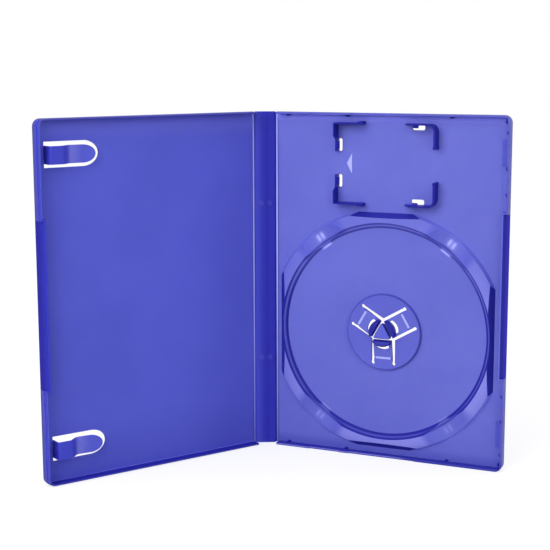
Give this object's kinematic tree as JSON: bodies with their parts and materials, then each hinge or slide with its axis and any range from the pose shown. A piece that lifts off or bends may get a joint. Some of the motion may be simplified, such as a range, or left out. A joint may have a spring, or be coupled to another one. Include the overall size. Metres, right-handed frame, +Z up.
{
  "type": "game disc case",
  "caption": "Empty hinged plastic case for a game disc, standing open like a book: tray with disc hub, nest ring and memory card holder, spine, and cover with booklet clips.",
  "frame": {"origin": "middle of the tray's bottom rim face, where the tray stands on the table", "axes": "+Z up along the hinge lines, +X from the tray's hinge line to its opening edge, +Y out of the tray's back, so the case opens towards -Y"},
  "size_m": [0.2138, 0.124, 0.19],
  "materials": {
    "case_plastic": "satin, slightly translucent blue-violet polypropylene"
  },
  "bodies": {
    "tray": {"back_tray": "case_plastic"},
    "spine": {"spine": "case_plastic"},
    "cover": {"front_cover": "case_plastic"},
    "clip_upper": {"booklet_clip_upper": "case_plastic"},
    "clip_lower": {"booklet_clip_lower": "case_plastic"},
    "button": {"hub_button": "case_plastic"},
    "arm_right": {"hub_arm_right": "case_plastic"},
    "arm_left": {"hub_arm_left": "case_plastic"},
    "arm_lower": {"hub_arm_lower": "case_plastic"}
  },
  "joints": [
    {"name": "tray_spine_fold", "type": "hinge", "parent": "tray", "child": "spine", "pos_m": [-0.06665, 0.00285, 0.095], "axis": [0, 0, 1], "range_deg": [-27.6, 62.4]},
    {"name": "spine_cover_fold", "type": "hinge", "parent": "spine", "child": "cover", "pos_m": [-0.07852, -0.00336, 0.095], "axis": [0, 0, 1], "range_deg": [-31.4, 58.6]},
    {"name": "clip_upper_bend", "type": "hinge", "parent": "cover", "child": "clip_upper", "pos_m": [-0.14359, -0.11242, 0.1716], "axis": [0, 0, -1], "range_deg": [0, 12], "stiffness_Nm_per_rad": 0.4},
    {"name": "clip_lower_bend", "type": "hinge", "parent": "cover", "child": "clip_lower", "pos_m": [-0.14359, -0.11242, 0.0184], "axis": [0, 0, -1], "range_deg": [0, 12], "stiffness_Nm_per_rad": 0.4},
    {"name": "button_press", "type": "slide", "parent": "tray", "child": "button", "axis": [0, 1, 0], "range_m": [0, 0.0015], "stiffness_N_per_m": 2000},
    {"name": "arm_right_tilt", "type": "hinge", "parent": "tray", "child": "arm_right", "pos_m": [0.01062, 0.00125, 0.0776], "axis": [0.5, 0, -0.866], "range_deg": [0, 8.5]},
    {"name": "arm_left_tilt", "type": "hinge", "parent": "tray", "child": "arm_left", "pos_m": [-0.01432, 0.00125, 0.0776], "axis": [0.5, 0, 0.866], "range_deg": [0, 8.5]},
    {"name": "arm_lower_tilt", "type": "hinge", "parent": "tray", "child": "arm_lower", "pos_m": [-0.00185, 0.00125, 0.056], "axis": [-1, 0, 0], "range_deg": [0, 8.5]}
  ],
  "couplings": [
    {"joint": "arm_right_tilt", "follows": "button_press", "rad_per_m": 95.24},
    {"joint": "arm_left_tilt", "follows": "button_press", "rad_per_m": 95.24},
    {"joint": "arm_lower_tilt", "follows": "button_press", "rad_per_m": 95.24}
  ]
}
